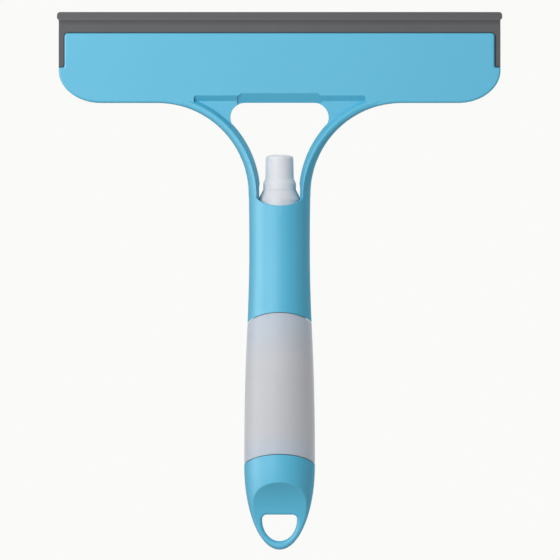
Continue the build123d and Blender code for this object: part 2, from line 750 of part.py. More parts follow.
def pump_spring():
    """Return spring between the chamber's floor and the piston, wound as a helix."""
    start = chamber_floor + SPRING_SEAT + SPRING_WIRE
    height = piston_bottom - SPRING_SEAT - SPRING_WIRE - start
    pitch = height / SPRING_TURNS
    path = Pos(0, 0, start) * Helix(pitch, height, SPRING_RADIUS)
    wire = Plane(path @ 0, z_dir=path % 0) * Circle(SPRING_WIRE)
    spring = sweep(wire, path=path, is_frenet=True)
    length = SPRING_TURNS * sqrt((2 * pi * SPRING_RADIUS) ** 2 + pitch**2)
    print("spring volume over section times length", spring.volume / (pi * SPRING_WIRE**2 * length))
    return spring


def check_ball():
    """Inlet ball, just clear of its conical seat."""
    slope = atan((CAGE_RADIUS - INLET_RADIUS) / SEAT_HEIGHT)
    apex = seat_floor - INLET_RADIUS * SEAT_HEIGHT / (CAGE_RADIUS - INLET_RADIUS)
    return Pos(0, 0, apex + (BALL_RADIUS + BALL_CLEARANCE) / sin(slope)) * Sphere(BALL_RADIUS)


def dip_tube():
    """Tube from the pump's socket to just over the bottle's floor, with a bevelled end."""
    end = SPIGOT_FLOOR + BOTTLE_WALL + TUBE_OFF_FLOOR
    bore = TUBE_RADIUS - TUBE_WALL
    tube = turned((bore, end), (TUBE_RADIUS, end), (TUBE_RADIUS, socket_top), (bore, socket_top))
    wedge = Polyline((-TUBE_RADIUS, end), (TUBE_RADIUS, end), (TUBE_RADIUS, end + TUBE_BEVEL), close=True)
    return tube - through(make_face(wedge), TUBE_RADIUS)


def spray_actuator():
    """Finger button: dished top, skirt over the turret, stem socket and nozzle pocket on the front."""
    button = turned(
        (0, actuator_top),
        (ACTUATOR_RADIUS, actuator_top),
        (ACTUATOR_RADIUS, actuator_bottom),
        (ACTUATOR_RADIUS - ACTUATOR_WALL, actuator_bottom),
        (ACTUATOR_RADIUS - ACTUATOR_WALL, recess_roof),
        (BOSS_RADIUS, recess_roof),
        (BOSS_RADIUS, recess_roof - BOSS_DROP),
        (STEM_RADIUS, recess_roof - BOSS_DROP),
        (STEM_RADIUS, stem_top),
        (STEM_BORE, stem_top),
        (STEM_BORE, nozzle_height),
        (0, nozzle_height),
    )
    rim = button.edges().group_by(Axis.Z)[-1]
    button = fillet(rim, ACTUATOR_ROUNDING)
    dish = Pos(0, 0, actuator_top + DISH_RADIUS - DISH_DEPTH) * Sphere(DISH_RADIUS)
    front = Plane(origin=(0, -ACTUATOR_RADIUS, nozzle_height), z_dir=(0, 1, 0))
    pocket = extrude(front * Circle(NOZZLE_RADIUS), amount=NOZZLE_DEPTH)
    duct = extrude(front * Circle(STEM_BORE), amount=ACTUATOR_RADIUS)
    return button - dish - pocket - duct


def nozzle_insert():
    """Swirl insert with a dimpled face and a fine orifice."""
    face = Plane(origin=(0, NOZZLE_SINK - ACTUATOR_RADIUS, nozzle_height), z_dir=(0, 1, 0))
    length = NOZZLE_DEPTH - NOZZLE_SINK
    disc = extrude(face * Circle(NOZZLE_RADIUS - FIT_CLEARANCE), amount=length)
    dimple = loft([face * Circle(DIMPLE_RADIUS), face.offset(DIMPLE_DEPTH) * Circle(ORIFICE_RADIUS)])
    return disc - dimple - extrude(face * Circle(ORIFICE_RADIUS), amount=length)


def dust_cap():
    """Clear overcap with a rounded, faintly domed top and a flared skirt."""
    flare = collar_top + SKIRT_HEIGHT
    seat = RING_OUTER + FIT_CLEARANCE
    inner = CAP_RADIUS - CAP_WALL
    shoulder = cap_top - CAP_CROWN
    crown = TangentArc((0, cap_top), (CAP_RADIUS, shoulder), tangent=(1, 0))
    outline = Polyline(
        crown @ 1,
        (CAP_FOOT, flare + SKIRT_FLARE),
        (CAP_SKIRT, flare),
        (CAP_SKIRT, collar_top),
        (seat, collar_top),
        (seat, collar_top + CAP_SEAT),
        (inner, collar_top + CAP_SEAT + CAP_WALL),
        (inner, cap_top - CAP_ROOF),
        (0, cap_top - CAP_ROOF),
        (0, cap_top),
    )
    wall = make_face([crown, outline])
    wall = fillet(wall.vertices().sort_by_distance((CAP_RADIUS, shoulder))[0], CAP_ROUNDING)
    return revolve(Plane.XZ * wall, Axis.Z)


PIECES = (
    head_frame,
    squeegee_blade,
    bottle,
    tail_cap,
    closure_collar,
    neck_gasket,
    pump_housing,
    pump_turret,
    pump_stem,
    pump_piston,
    pump_spring,
    check_ball,
    dip_tube,
    spray_actuator,
    nozzle_insert,
    dust_cap,
)

os.makedirs("parts", exist_ok=True)
to_origin = Pos(0, 0, -GRIP_HEIGHT)
for piece in PIECES:
    solid = to_origin * piece()
    export_step(solid, f"parts/{piece.__name__}.step")
    print(piece.__name__, "volume", round(solid.volume, 1))
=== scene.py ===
# %% [markdown]
# # A window squeegee with a spray bottle for a handle
# The tool in this lesson is a bathroom squeegee: a wide blue head with a rubber wiping edge, a forked
# neck, and a handle whose lower half is a small frosted bottle. A mist pump stands on the bottle's neck,
# inside the fork. All the solid shapes come from a measured CAD model, so our work is the finish of each
# surface, the few fine forms that a CAD model leaves out, and a quiet studio round it.
#
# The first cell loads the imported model. Each moulding arrives as one object named after it, in metres,
# with the origin where the hand grips and +Z pointing up the handle to the wiping edge.

# %% Load the measured model
import bpy
import json
import numpy as np
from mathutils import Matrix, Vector


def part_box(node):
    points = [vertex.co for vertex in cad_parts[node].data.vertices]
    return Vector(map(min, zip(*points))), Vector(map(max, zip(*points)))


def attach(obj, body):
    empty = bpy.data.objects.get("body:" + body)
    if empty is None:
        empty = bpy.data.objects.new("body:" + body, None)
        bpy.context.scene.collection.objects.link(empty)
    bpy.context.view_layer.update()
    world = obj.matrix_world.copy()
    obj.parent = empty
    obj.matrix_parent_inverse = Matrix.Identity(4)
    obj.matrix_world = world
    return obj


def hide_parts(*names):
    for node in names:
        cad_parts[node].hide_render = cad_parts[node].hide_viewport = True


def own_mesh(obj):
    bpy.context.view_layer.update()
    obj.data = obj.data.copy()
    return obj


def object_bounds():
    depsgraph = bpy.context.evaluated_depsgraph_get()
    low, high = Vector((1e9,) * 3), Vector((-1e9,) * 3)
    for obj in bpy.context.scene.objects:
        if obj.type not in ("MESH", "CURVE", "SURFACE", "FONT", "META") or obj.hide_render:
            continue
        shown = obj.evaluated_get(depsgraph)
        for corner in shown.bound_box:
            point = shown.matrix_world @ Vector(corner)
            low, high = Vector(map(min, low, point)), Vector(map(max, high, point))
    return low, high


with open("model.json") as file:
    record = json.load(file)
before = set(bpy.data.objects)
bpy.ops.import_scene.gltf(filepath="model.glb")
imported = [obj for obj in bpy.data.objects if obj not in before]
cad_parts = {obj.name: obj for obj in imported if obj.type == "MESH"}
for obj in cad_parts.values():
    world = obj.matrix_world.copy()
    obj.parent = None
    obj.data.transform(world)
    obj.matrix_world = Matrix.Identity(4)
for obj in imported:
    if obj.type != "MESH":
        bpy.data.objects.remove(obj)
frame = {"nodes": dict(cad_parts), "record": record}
cad_box = [list(corner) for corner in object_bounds()]
MM = 0.001
print("mouldings:", sorted(frame["nodes"]))
print("model box in mm:", [[round(v / MM, 1) for v in corner] for corner in cad_box])

# %% [markdown]
# ## Writing shader maths as sums
# Every finish below is worked out from the position on the piece: a little noise for the grain, a thin
# line where two mould halves met. Node trees for such sums soon grow unreadable when each node is made by
# hand, so we wrap an output socket in a small class. Adding, subtracting or multiplying two of these
# wires, or raising one to a power, puts one Math node into the tree, and a plain number may stand on
# either side. Any other kind of node comes from the one method called node: its settings go first,
# because some of them change which sockets exist.

# %% A wire that can be calculated with
class Wire:
    """One output socket of a node tree. Arithmetic on it adds Math nodes and gives the next wire."""

    def __init__(self, tree, socket):
        self.tree = tree
        self.socket = socket

    def node(self, kind, settings, sockets, out=0):
        """Add a node of any kind, set its settings, then give each socket a value or a wire."""
        made = self.tree.nodes.new(kind)
        for key, value in settings.items():
            setattr(made, key, value)
        for key, value in sockets.items():
            if isinstance(value, Wire):
                self.tree.links.new(value.socket, made.inputs[key])
            else:
                made.inputs[key].default_value = value
        return Wire(self.tree, made.outputs[out])

    def math(self, operation, *values):
        """Add one Math node; the values fill its inputs in order."""
        return self.node("ShaderNodeMath", {"operation": operation}, dict(enumerate(values)))

    def __add__(self, other):
        return self.math("ADD", self, other)

    def __sub__(self, other):
        return self.math("SUBTRACT", self, other)

    def __rsub__(self, other):
        return self.math("SUBTRACT", other, self)

    def __mul__(self, other):
        return self.math("MULTIPLY", self, other)

    def __pow__(self, other):
        return self.math("POWER", self, other)

    def __rpow__(self, other):
        return self.math("POWER", other, self)

    def __abs__(self):
        return self.math("ABSOLUTE", self)

    __radd__ = __add__
    __rmul__ = __mul__


print("a wire takes + - * ** and abs")


# %% [markdown]
# ## Four small recipes that every finish shares
# Grain is a noise with a known size in metres: dividing one by that size gives the noise's scale. A fade
# turns a distance into a soft mask between 0 and 1. A blend mixes two colours by a mask. Along picks one
# coordinate out of a place. With these, a finish reads like a description of the surface. They are
# functions rather than node groups, because a group hides the values that a learner wants to change.

# %% Grain, fade, blend and along
def grain(place, size, detail=2.0):
    """Cloudy noise from 0 to 1 whose blobs are about size metres wide."""
    return place.node("ShaderNodeTexNoise", {}, {"Vector": place, "Scale": 1 / size, "Detail": detail})


def fade(value, start, end):
    """0 where value is at start, 1 where it is at end, with a smooth step between them."""
    return value.node(
        "ShaderNodeMapRange",
        {"interpolation_type": "SMOOTHSTEP"},
        {"Value": value, "From Min": start, "From Max": end},
    )


def blend(mask, plain, marked):
    """A colour that is plain where the mask is 0 and marked where it is 1."""
    return mask.node(
        "ShaderNodeMix", {"data_type": "RGBA"}, {0: mask, 6: plain, 7: marked}, out=2
    )


def along(place, axis):
    """One coordinate of a place: 0 is to the right, 1 to the back, 2 up the handle."""
    return place.node("ShaderNodeSeparateXYZ", {}, {0: place}, out=axis)


print("recipes ready: grain, fade, blend, along")


# %% [markdown]
# ## From recipe to material
# A finish is one material on the general-purpose Principled shader. Numbers that hold for the whole
# surface go straight onto the shader's sockets. Only colour, roughness and the surface's fine relief are
# fed by wires, since those are what changes from place to place. The relief is a height in metres, which
# a Bump node turns into tilted normals. The materials are collected by the name of the slot that the CAD
# record gives each piece.

# %% Start and close a finish
finishes = {}


def begin(slot):
    """Make an empty material for a slot and return a wire with the place on the piece, in metres."""
    material = bpy.data.materials.new(slot)
    material.use_nodes = True
    finishes[slot] = material
    tree = material.node_tree
    return Wire(tree, None).node("ShaderNodeTexCoord", {}, {}, out="Object")


def complete(slot, colour, roughness, height, constants):
    """Feed the slot's shader with a colour, a roughness and a height in metres, and set its constants."""
    tree = finishes[slot].node_tree
    shader = tree.nodes["Principled BSDF"]
    relief = height.node("ShaderNodeBump", {}, {"Height": height, "Distance": 1.0, "Strength": 1.0})
    for name, wire in (("Base Color", colour), ("Roughness", roughness), ("Normal", relief)):
        tree.links.new(wire.socket, shader.inputs[name])
    for name, value in constants.items():
        shader.inputs[name].default_value = value
    print(slot, "has", len(tree.nodes), "nodes")


# %% [markdown]
# ## Blue polypropylene
# Head, fork and sleeve are one injection moulding, and the tail cap is another in the same blue. The
# mould was lightly blasted, so the plastic has a satin sheen instead of a mirror gloss. Looked at closely
# it shows four things: a very fine grain, slow clouds where the colour flowed in unevenly, a hairline
# where the mould's two halves met, and faint rings on the back where ejector pins pushed the head out of
# its mould. The halves parted front from back, so the hairline runs round the sides at depth zero. The
# pins stood in two rows of two, 48 mm either side of the middle. We could model line and rings, but at a
# few hundredths of a millimetre a relief is enough.

# %% Satin blue plastic
DEEP_BLUE, LIGHT_BLUE = (0.056, 0.392, 0.578, 1), (0.067, 0.416, 0.606, 1)
LINE_BLUE = (0.2, 0.56, 0.75, 1)
PIN_ASIDE, PIN_LEVEL = 48 * MM, 95 * MM
PIN_ROW, PIN_RADIUS = 8 * MM, 2.5 * MM
place = begin("blue_plastic")
clouds = grain(place, 45 * MM, 3.0)
flow = grain(place, 9 * MM, 2.0)
pits = grain(place, 0.35 * MM, 1.0)
parting = 1 - fade(abs(along(place, 1)), 0.05 * MM, 0.16 * MM)
aside = abs(along(place, 0)) - PIN_ASIDE
upward = abs(along(place, 2) - PIN_LEVEL) - PIN_ROW
from_pin = (aside * aside + upward * upward) ** 0.5
on_the_back = fade(along(place, 1), 3 * MM, 4 * MM)
pin = (1 - fade(abs(from_pin - PIN_RADIUS), 0.05 * MM, 0.15 * MM)) * on_the_back
colour = blend(clouds, DEEP_BLUE, LIGHT_BLUE)
colour = blend(parting * 0.25, colour, LINE_BLUE)
roughness = 0.5 + 0.07 * flow + 0.05 * pits
height = pits * (0.004 * MM) + parting * (0.03 * MM) - pin * (0.04 * MM)
complete("blue_plastic", colour, roughness, height, {"IOR": 1.49, "Specular IOR Level": 0.9})

# %% [markdown]
# ## Grey rubber
# The wiping blade is a soft thermoplastic rubber that was moulded over the head's tongue. It is dark grey
# and almost without gloss. Rubber picks up lint and bloom, a pale dust that rises to the surface, and its
# skin is grained like orange peel at about half a millimetre. The bloom lightens the grey in soft
# patches. The wiping lip has less of it, because every use wipes it off, and its skin is smoother. A
# painted highlight lightens a line along its lower edge. Painted shade darkens the grey in the corner
# under the lip, where the step keeps the light out, and clears over the next 3 mm.

# %% Matt grey rubber
CLEAN_GREY, BLOOM_GREY = (0.084, 0.085, 0.088, 1), (0.106, 0.107, 0.111, 1)
UNDER_LIP_SHADE_GREY, LIP_GREY = (0.05, 0.048, 0.052, 1), (0.09, 0.09, 0.092, 1)
LIP_EDGE_HIGHLIGHT_GREY = (0.14, 0.14, 0.14, 1)
LIP_HEIGHT = 3.9 * MM
place = begin("grey_rubber")
bloom = grain(place, 14 * MM, 4.0)
peel = grain(place, 0.5 * MM, 2.0)
lip_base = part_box("squeegee_blade")[1].z - LIP_HEIGHT
up = along(place, 2) - lip_base
lip = fade(up, -0.1 * MM, 0.2 * MM)
# Painted highlight: a paler line just above the lip's base.
painted_lip_highlight = 1 - fade(abs(up - 0.5 * MM), 0.1 * MM, 0.5 * MM)
# Painted shade: the grey darkens in the corner under the lip and clears over 3 mm.
corner = fade(up, -3.2 * MM, -0.3 * MM) * (1 - lip)
colour = blend(bloom, CLEAN_GREY, BLOOM_GREY)
colour = blend(corner * 0.6, colour, UNDER_LIP_SHADE_GREY)
colour = blend(lip * 0.75, colour, LIP_GREY)
colour = blend(painted_lip_highlight * 0.4, colour, LIP_EDGE_HIGHLIGHT_GREY)
roughness = 0.62 + 0.12 * bloom - 0.1 * lip
height = peel * (0.012 * MM) + bloom * (0.01 * MM)
complete("grey_rubber", colour, roughness, height, {"IOR": 1.5, "Specular IOR Level": 0.3})

# %% [markdown]
# ## Where the seams run
# The bottle meets blue plastic at two seams, and its finish has to know how far away they are. Seen from
# the front a seam is an arch: the middle part of a half ellipse that is 1.1 mm wider than the handle on
# each side and rises 5.2 mm from the handle's side to its crest. An image map could hold that line too,
# but a formula stays sharp at any distance. It takes a wire for x, so the shader works it out at each
# point. The lower seam lies 41 mm above the tail's end, the upper one 67.1 mm above the lower.

# %% Arched seams
SEAM_SPREAD, SEAM_RISE = 1.1 * MM, 5.2 * MM
TAIL_RADIUS, SLEEVE_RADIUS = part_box("bottle")[1].x, 15.35 * MM
TAIL_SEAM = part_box("tail_cap")[0].z + 41.0 * MM
SLEEVE_SEAM = TAIL_SEAM + 67.1 * MM


def arch(x, side, radius):
    """Height of a seam at x: crest - half axis + half axis times the root of 1 - (x / reach) squared."""
    reach, crest = radius + SEAM_SPREAD, side + SEAM_RISE
    half = SEAM_RISE / (1 - (1 - (radius / reach) ** 2) ** 0.5)
    share = 1 - x * x * (1 / reach**2)
    return crest - half + half * share.math("MAXIMUM", share, 0.0) ** 0.5


print("seams at", round(TAIL_SEAM / MM, 1), "and", round(SLEEVE_SEAM / MM, 1), "mm")


# %% [markdown]
# ## Frosted polyethylene
# The bottle is blow moulded from uncoloured polyethylene, a waxy plastic that lets light wander inside
# the wall before it comes out again. Subsurface scattering is made for that. Its three radii are the
# distances that red, green and blue light travel. They start out as those of skin, where red goes
# furthest, so we set them equal for all the waxy plastics. Near both seams a painted blue glow stands
# in for the blue neighbours' light shining through; it fades with the distance from the arch. None is
# painted above the upper seam, because the barrel is seen only when it is out of the blue sleeve.
# The two halves of the blow mould leave a fine upright line on the left and right.

# %% Frosted bottle
WAXY = {"Subsurface Radius": (1.0, 1.0, 1.0)}
DULL_MILK, PALE_MILK = (0.475, 0.48, 0.504, 1), (0.5, 0.505, 0.529, 1)
SHINE_PAINTED_MILK = (0.42, 0.485, 0.562, 1)
TAIL_GLOW, SLEEVE_GLOW = 14 * MM, 26 * MM
place = begin("frosted_plastic")
x, up = along(place, 0), along(place, 2)
# Painted light: near each seam the grey is painted bluer, standing in for the blue plastic's light
# shining through the wall.
above = up - arch(x, TAIL_SEAM, TAIL_RADIUS)
below = arch(x, SLEEVE_SEAM, SLEEVE_RADIUS) - up
tail_painted_shine = 1 - fade(above, 0.0, TAIL_GLOW)
sleeve_painted_shine = (1 - fade(below, 0.0, SLEEVE_GLOW)) * fade(below, -0.4 * MM, -0.1 * MM)
painted_seam_shine = tail_painted_shine.math("MAXIMUM", tail_painted_shine, sleeve_painted_shine)
frost = grain(place, 0.4 * MM, 2.0)
waves = grain(place, 22 * MM, 2.0)
parting = 1 - fade(abs(along(place, 1)), 0.06 * MM, 0.2 * MM)
colour = blend(waves, DULL_MILK, PALE_MILK)
colour = blend(painted_seam_shine * 0.8, colour, SHINE_PAINTED_MILK)
roughness = 0.5 + 0.1 * frost
height = frost * (0.006 * MM) + waves * (0.05 * MM) + parting * (0.05 * MM)
complete(
    "frosted_plastic",
    colour,
    roughness,
    height,
    WAXY
    | {"IOR": 1.51, "Subsurface Weight": 0.5, "Subsurface Scale": 5 * MM}
    | {"Sheen Weight": 0.45, "Sheen Roughness": 0.5, "Specular IOR Level": 0.4},
)

# %% [markdown]
# ## White closure and natural pump plastic
# The screw collar, the retaining ring, the stem and the finger button with its nozzle are moulded in
# white. The pump chamber, its piston and the dip tube are left uncoloured, which looks like skimmed milk.
# Both are smooth mouldings, so what shows is a faint unevenness in the gloss. The natural parts get more
# subsurface light and a touch of warmth.

# %% White and natural mouldings
SHADED_WHITE, BRIGHT_WHITE = (0.60, 0.61, 0.635, 1), (0.63, 0.64, 0.665, 1)
SKIMMED, CREAMY = (0.66, 0.67, 0.66, 1), (0.70, 0.71, 0.69, 1)
place = begin("white_plastic")
flow = grain(place, 5 * MM, 3.0)
skin = grain(place, 0.3 * MM, 1.0)
colour = blend(flow, SHADED_WHITE, BRIGHT_WHITE)
roughness = 0.34 + 0.1 * flow
height = skin * (0.003 * MM) + flow * (0.02 * MM)
complete(
    "white_plastic",
    colour,
    roughness,
    height,
    WAXY | {"Subsurface Weight": 0.15, "Subsurface Scale": 2 * MM},
)

place = begin("natural_plastic")
flow = grain(place, 4 * MM, 3.0)
colour = blend(flow, SKIMMED, CREAMY)
roughness = 0.4 + 0.12 * flow
height = flow * (0.02 * MM)
complete(
    "natural_plastic",
    colour,
    roughness,
    height,
    WAXY | {"Subsurface Weight": 0.45, "Subsurface Scale": 3 * MM},
)

# %% [markdown]
# ## The dust cap
# The cap over the pump is a thin polypropylene moulding, milky enough to hide the button inside. A clear
# shader with a cloudy inside would be one way, but it shows a hard inner edge that milky plastic doesn't
# have, so the cap scatters light like the bottle. It is a little smoother, its reflections are fainter,
# and a soft sheen lightens its edges. No tint is painted round its foot: the blue plastic beside it
# lights it there. Fine drawn marks run down the wall, as a core leaves when it slides out of a tall cap:
# noise that is stretched upwards.

# %% Milky dust cap
THIN_CLOUD, THICK_CLOUD = (0.625, 0.635, 0.66, 1), (0.655, 0.665, 0.69, 1)
DRAWN_OUT = (1.0, 1.0, 0.06)
place = begin("clear_plastic")
stretched = place.node("ShaderNodeMapping", {}, {"Vector": place, "Scale": DRAWN_OUT})
drawn = grain(stretched, 0.6 * MM, 2.0)
milk = grain(place, 6 * MM, 2.0)
colour = blend(milk, THIN_CLOUD, THICK_CLOUD)
roughness = 0.46 + 0.1 * drawn
height = drawn * (0.003 * MM) + milk * (0.02 * MM)
complete(
    "clear_plastic",
    colour,
    roughness,
    height,
    WAXY
    | {"IOR": 1.49, "Subsurface Weight": 0.3, "Subsurface Scale": 2 * MM}
    | {"Sheen Weight": 0.6, "Sheen Roughness": 0.5, "Specular IOR Level": 0.25},
)

# %% [markdown]
# ## Washer and steel
# Two small finishes are left. The washer under the pump is a soft foam with open pores. A cell pattern
# gives those: its distance is 0 in the middle of a pore and grows towards the wall between two pores. The
# return spring and the inlet ball are stainless steel. Drawn wire and ground balls both have fine
# scratches, and the scratches decide how rough the metal looks.

# %% Foam washer and stainless steel
PORE_SHADE_GREY, FOAM_GREY = (0.50, 0.49, 0.45, 1), (0.66, 0.65, 0.61, 1)
DULL_STEEL, CLEAN_STEEL = (0.52, 0.53, 0.54, 1), (0.62, 0.63, 0.64, 1)
PORE, FLATTENED = 0.35 * MM, (1.0, 1.0, 6.0)
place = begin("seal_rubber")
pores = place.node("ShaderNodeTexVoronoi", {}, {"Vector": place, "Scale": 1 / PORE}, out="Distance")
# Painted shade: the pores are coloured darker than the walls, as shade falls inside the holes.
wall = fade(pores, 0.0, 0.5)
colour = blend(wall, PORE_SHADE_GREY, FOAM_GREY)
complete("seal_rubber", colour, 0.7 + 0.15 * wall, wall * (0.03 * MM), {"Specular IOR Level": 0.25})

place = begin("bright_steel")
squeezed = place.node("ShaderNodeMapping", {}, {"Vector": place, "Scale": FLATTENED})
scratch = grain(squeezed, 0.25 * MM, 4.0)
colour = blend(scratch, DULL_STEEL, CLEAN_STEEL)
complete("bright_steel", colour, 0.18 + 0.2 * scratch, scratch * (0.002 * MM), {"Metallic": 1.0})

# %% [markdown]
# ## Dressing the mouldings
# The CAD record says which slot each moulding belongs to. Giving the material to the object's own slot
# leaves the mesh as it was measured, which is what we want: the shape is right already.

# %% Give every moulding its finish
for entry in frame["record"]["subparts"]:
    moulding = frame["nodes"][entry["node"]]
    moulding.material_slots[0].material = finishes[entry["material_slot"]]
    print(entry["node"], "->", entry["material_slot"])

# %% [markdown]
# ## A profile carried along a path
# The forms that are still missing are a screw thread, finger ribs and a coil spring. Each one is a closed
# profile carried along a path. We work out the whole grid of points as one array: a row for each station
# on the path, a column for each point of the profile. Neighbouring points are then joined into quads. A
# path that ends gets a polygon on each end, and a path that closes is joined from the last row to the
# first. Edges that turn by more than 0.7 radians stay sharp. If the profile turns anticlockwise about the
# direction of travel, the faces point outwards, and the enclosed volume comes out positive. Printing that
# volume is a cheap test.

# %% Rows of profiles to a mesh
SHARP_EDGE = 0.7


def carried(name, rings, closed, body, slot):
    """Mesh from rings, an array of stations x profile points x 3: quads between stations, ends capped."""
    stations, points = rings.shape[:2]
    index = np.arange(stations * points).reshape(stations, points)
    here = index if closed else index[:-1]
    there = np.roll(index, -1, axis=0) if closed else index[1:]
    quads = np.stack(
        [here, np.roll(here, -1, axis=1), np.roll(there, -1, axis=1), there], axis=-1
    ).reshape(-1, 4)
    caps = [] if closed else [index[0][::-1].tolist(), index[-1].tolist()]
    mesh = bpy.data.meshes.new(name)
    mesh.from_pydata(rings.reshape(-1, 3).tolist(), [], quads.tolist() + caps)
    mesh.shade_smooth()
    mesh.set_sharp_from_angle(angle=SHARP_EDGE)
    piece = bpy.data.objects.new(name, mesh)
    bpy.context.scene.collection.objects.link(piece)
    piece.data.materials.append(finishes[slot])
    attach(piece, body)
    a, b, c, d = (rings.reshape(-1, 3)[quads[:, i]] for i in range(4))
    volume = (np.cross(b - a, c - a) * a + np.cross(c - a, d - a) * a).sum() / 6
    print(name, len(quads), "quads,", round(float(volume) / MM**3, 2), "cubic mm")
    return piece


def round_the_axis(radius, angle, height):
    """Points at a radius, angle and height round the handle's axis, as x, y, z in the last place."""
    return np.stack(np.broadcast_arrays(radius * np.cos(angle), radius * np.sin(angle), height), axis=-1)


# %% [markdown]
# ## The screw thread
# The collar holds the pump on the bottle by a right-hand thread with a pitch of 3.2 mm, so one and a half
# turns lift it 4.8 mm. A right-hand helix climbs as it turns anticlockwise seen from above: its height is
# the start plus pitch times angle over a full turn. The thread's profile is a blunt ridge. It stands
# outwards on the neck and inwards in the collar, and half a pitch lies between the two, so that they
# slide past each other when the collar turns. Both ends of each ridge sink into the wall over a quarter
# turn, as a mould maker cuts them.

# %% Thread on the neck and in the collar
PITCH, RUN_OUT, STATIONS = 3.2 * MM, 0.25, 72
RIDGE_OUT = np.array([-0.15, 0.0, 0.5, 0.8, 0.85, 0.85, 0.8, 0.5, 0.0, -0.15]) * MM
RIDGE_UP = np.array([0.72, 0.68, 0.5, 0.34, 0.2, -0.2, -0.34, -0.5, -0.68, -0.72]) * MM


def thread(name, wall, outwards, start, turns, first_angle, body, slot):
    """Helical ridge: radius is wall plus or minus the profile, height is start plus pitch times turns."""
    turn = np.linspace(0.0, turns, int(turns * STATIONS) + 1)[:, None]
    swell = np.clip(np.minimum(turn, turns - turn) / RUN_OUT, 0.0, 1.0)
    swell = swell * swell * (3 - 2 * swell)
    out = np.where(RIDGE_OUT > 0, RIDGE_OUT * swell, RIDGE_OUT)
    radius = wall + out if outwards else wall - out[:, ::-1]
    height = start + PITCH * turn + (RIDGE_UP if outwards else RIDGE_UP[::-1])
    rings = round_the_axis(radius, first_angle + 2 * np.pi * turn, height)
    return carried(name, rings, False, body, slot)


NECK_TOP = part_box("bottle")[1].z
NECK_WALL, THREAD_ROOM = 7.9 * MM, 1.2 * MM
NECK_START = NECK_TOP - 8.9 * MM
SKIRT_START = NECK_TOP - 9.3 * MM + PITCH / 2
thread(
    "neck_thread",
    NECK_WALL,
    outwards=True,
    start=NECK_START,
    turns=2.25,
    first_angle=0.0,
    body="bottle",
    slot="frosted_plastic",
)
thread(
    "collar_thread",
    NECK_WALL + THREAD_ROOM,
    outwards=False,
    start=SKIRT_START,
    turns=1.5,
    first_angle=-np.pi / 4,
    body="closure",
    slot="white_plastic",
)

# %% [markdown]
# ## Finger ribs on the collar
# Sixty low ribs round the skirt give the fingers a hold when the pump is unscrewed. They would be sixty
# little solids in a CAD model. On a grid they are one ripple: the radius is the skirt's plus a rib height
# times a power of the absolute sine of thirty times the angle, which makes narrow valleys between rounded
# ribs. The valleys stand a hundredth of a millimetre off the skirt, because two faces in one place would
# flicker. The profile closes inside the skirt's wall, and the path closes on itself.

# %% Ripple round the skirt
RIBS, RIB_HEIGHT, RIB_LIFT = 60, 0.22 * MM, 0.01 * MM
SKIRT_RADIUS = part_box("closure_collar")[1].x + RIB_LIFT
angle = np.linspace(0.0, 2 * np.pi, RIBS * 10, endpoint=False)[:, None]
ripple = np.abs(np.sin(angle * RIBS / 2)) ** 0.7
stand = np.array([-0.15, 0.0, 0.8, 1.0, 1.0, 0.8, 0.0, -0.15])
level = np.array([25.6, 25.5, 25.2, 24.7, 20.4, 19.9, 19.6, 19.5]) * MM
radius = SKIRT_RADIUS + np.where(stand > 0, RIB_HEIGHT * stand * ripple, stand * MM)
carried("collar_ribs", round_the_axis(radius, angle, level), True, "closure", "white_plastic")

# %% [markdown]
# ## The return spring
# A pump spring is wound from round wire with its last coils laid flat, so that it stands square. The
# wire's centre runs on a cylinder, and its height grows slowly in the first and last coil and quickly
# between them: the rise per step is a smooth bump function of the angle, and adding the steps up gives
# the height. The wire's round section lies across the direction of travel. When the button is pressed by
# 4.4 mm the spring shortens from 10.1 to 5.7 mm, towards its lower end on the chamber's floor.

# %% Coil with flat ends
WIRE, COIL, TURNS = 0.28 * MM, 2.6 * MM, 7.0
LOW, HIGH = 12.05 * MM, 22.15 * MM
FLAT_TURNS, EASE_TURNS = 0.6, 0.6
FLAT_RISE, EXTRA_RISE = 0.36, 2.2
STEPS, SIDES = 60, 12
turn = np.linspace(0.0, TURNS, int(TURNS * STEPS) + 1)
rise = np.clip((np.minimum(turn, TURNS - turn) - FLAT_TURNS) / EASE_TURNS, 0.0, 1.0)
rise = FLAT_RISE + EXTRA_RISE * rise * rise * (3 - 2 * rise)
climb = np.concatenate([[0.0], np.cumsum((rise[1:] + rise[:-1]) / 2)])
climb = LOW + WIRE + (HIGH - LOW - 2 * WIRE) * climb / climb[-1]
angle = 2 * np.pi * turn
centre = round_the_axis(COIL, angle, climb)
travel = np.gradient(centre, axis=0)
travel /= np.linalg.norm(travel, axis=1, keepdims=True)
outward = round_the_axis(1.0, angle, 0.0)
across = np.cross(travel, outward)
section = np.linspace(0.0, 2 * np.pi, SIDES, endpoint=False)[:, None]
rings = centre[:, None] + WIRE * (np.cos(section) * outward[:, None] + np.sin(section) * across[:, None])
spring = carried("return_spring", rings, False, "sprayer", "bright_steel")
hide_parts("pump_spring")
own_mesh(spring)

# %% [markdown]
# ## The room
# A product like this is photographed before white paper, with one large soft lamp in front to the left
# and a white board close by on the left. The room itself is dim. So the world has three colours. It is
# paper white where the camera or a clear body looks at it, and where a shiny face mirrors the paper
# straight behind the tool. It is a soft grey where it only lights the object, which keeps the right side
# of the handle dark. And it is nearly black where a shiny face mirrors the dim half of the room, because
# a pale haze there would wash out the blue. The Light Path node tells these kinds of ray apart. The
# mirrored paper is given by the cosine of the angle from straight back: it is full up to 14 degrees and
# gone at 41.

